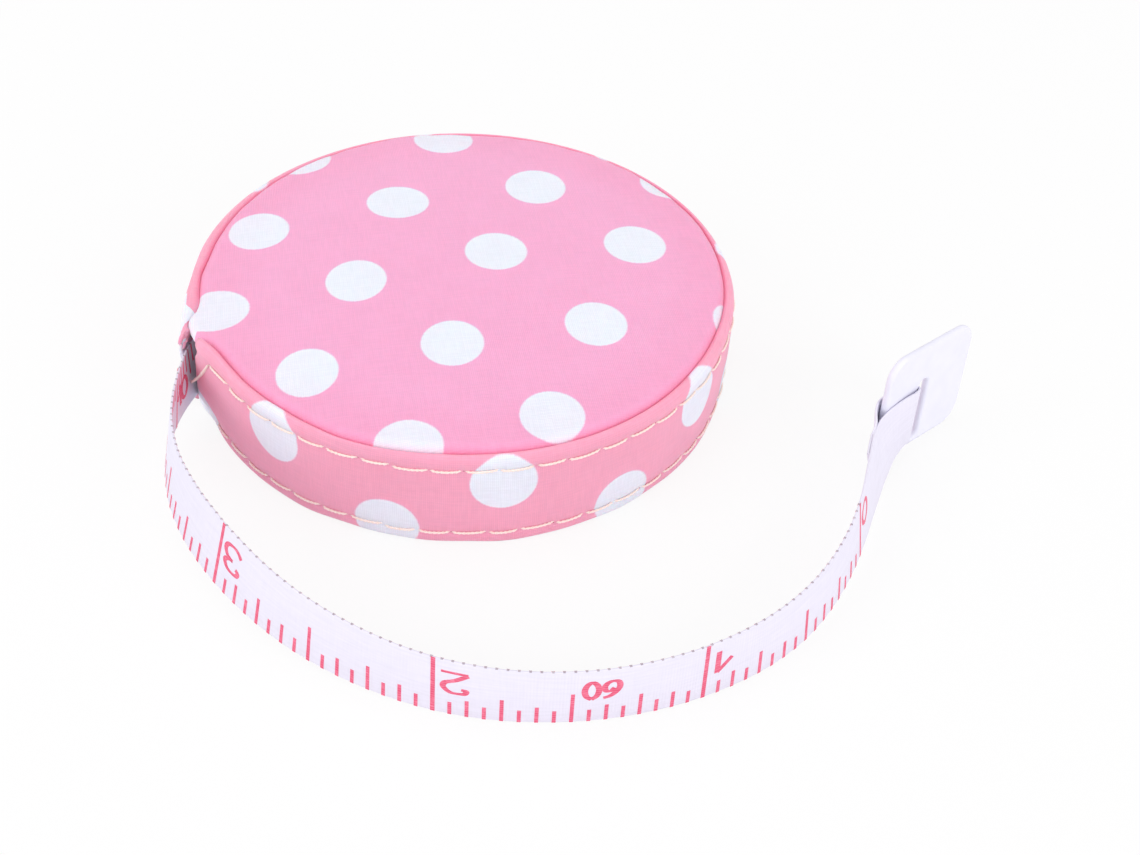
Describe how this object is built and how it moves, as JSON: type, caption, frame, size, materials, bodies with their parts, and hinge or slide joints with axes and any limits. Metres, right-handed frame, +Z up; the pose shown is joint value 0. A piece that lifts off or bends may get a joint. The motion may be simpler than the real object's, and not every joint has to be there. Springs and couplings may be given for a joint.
{
  "type": "retractable cloth tape measure",
  "caption": "Round retractable sewing tape measure in a cloth-covered case, with the tape's printed end drawn out to a slotted plastic tab.",
  "frame": {"origin": "centre of the round underside, on the surface that the case lies on", "axes": "+Z up out of the table, +X to the right and +Y to the back as the picture sees it; the tape leaves the case at the left"},
  "size_m": [0.0868, 0.0814, 0.0139],
  "materials": {
    "pink_cloth": "matt plain-weave cotton, pink with white dots",
    "wadding": "soft thin wadding",
    "white_plastic": "smooth moulded white plastic",
    "natural_plastic": "unpigmented moulded plastic",
    "tape_vinyl": "white vinyl-coated glass-fibre tape with a pink-red print",
    "spring_steel": "blued spring steel",
    "brake_felt": "grey felt"
  },
  "bodies": {
    "case": {"bottom_cover": "pink_cloth", "bottom_wadding": "wadding", "lower_shell": "white_plastic", "upper_shell": "white_plastic", "top_wadding": "wadding", "top_cover": "pink_cloth", "side_band": "pink_cloth", "power_spring": "spring_steel"},
    "drum": {"tape_drum": "natural_plastic", "drum_cover": "natural_plastic", "tape_coil": "tape_vinyl", "tape_anchor": "natural_plastic"},
    "tape": {"tape_ribbon": "tape_vinyl", "tape_end_fold": "tape_vinyl"},
    "tab": {"end_tab": "white_plastic"},
    "button": {"push_button": "white_plastic", "brake_ring": "natural_plastic", "brake_felt": "brake_felt", "stem_clip": "spring_steel", "return_spring": "spring_steel"}
  },
  "joints": [
    {"name": "drum_spin", "type": "hinge", "parent": "case", "child": "drum", "pos_m": [0, 0, 0.006], "axis": [0, 0, 1], "range_deg": [0, 44], "deforming": ["power_spring"]},
    {"name": "tape_pull", "type": "slide", "parent": "case", "child": "tape", "axis": [-0.2924, -0.9563, 0], "range_m": [0, 0.018]},
    {"name": "tab_swing", "type": "hinge", "parent": "tape", "child": "tab", "pos_m": [0.04709, -0.01282, 0.00748], "axis": [0, 0, 1], "range_deg": [-60, 90], "deforming": ["tape_end_fold"]},
    {"name": "button_press", "type": "slide", "parent": "case", "child": "button", "axis": [0, 0, -1], "range_m": [0, 0.001], "stiffness_N_per_m": 1000, "springref_m": -0.0005, "deforming": ["return_spring"]}
  ],
  "couplings": [
    {"joint": "tape_pull", "follows": "drum_spin", "m_per_rad": 0.02342}
  ]
}
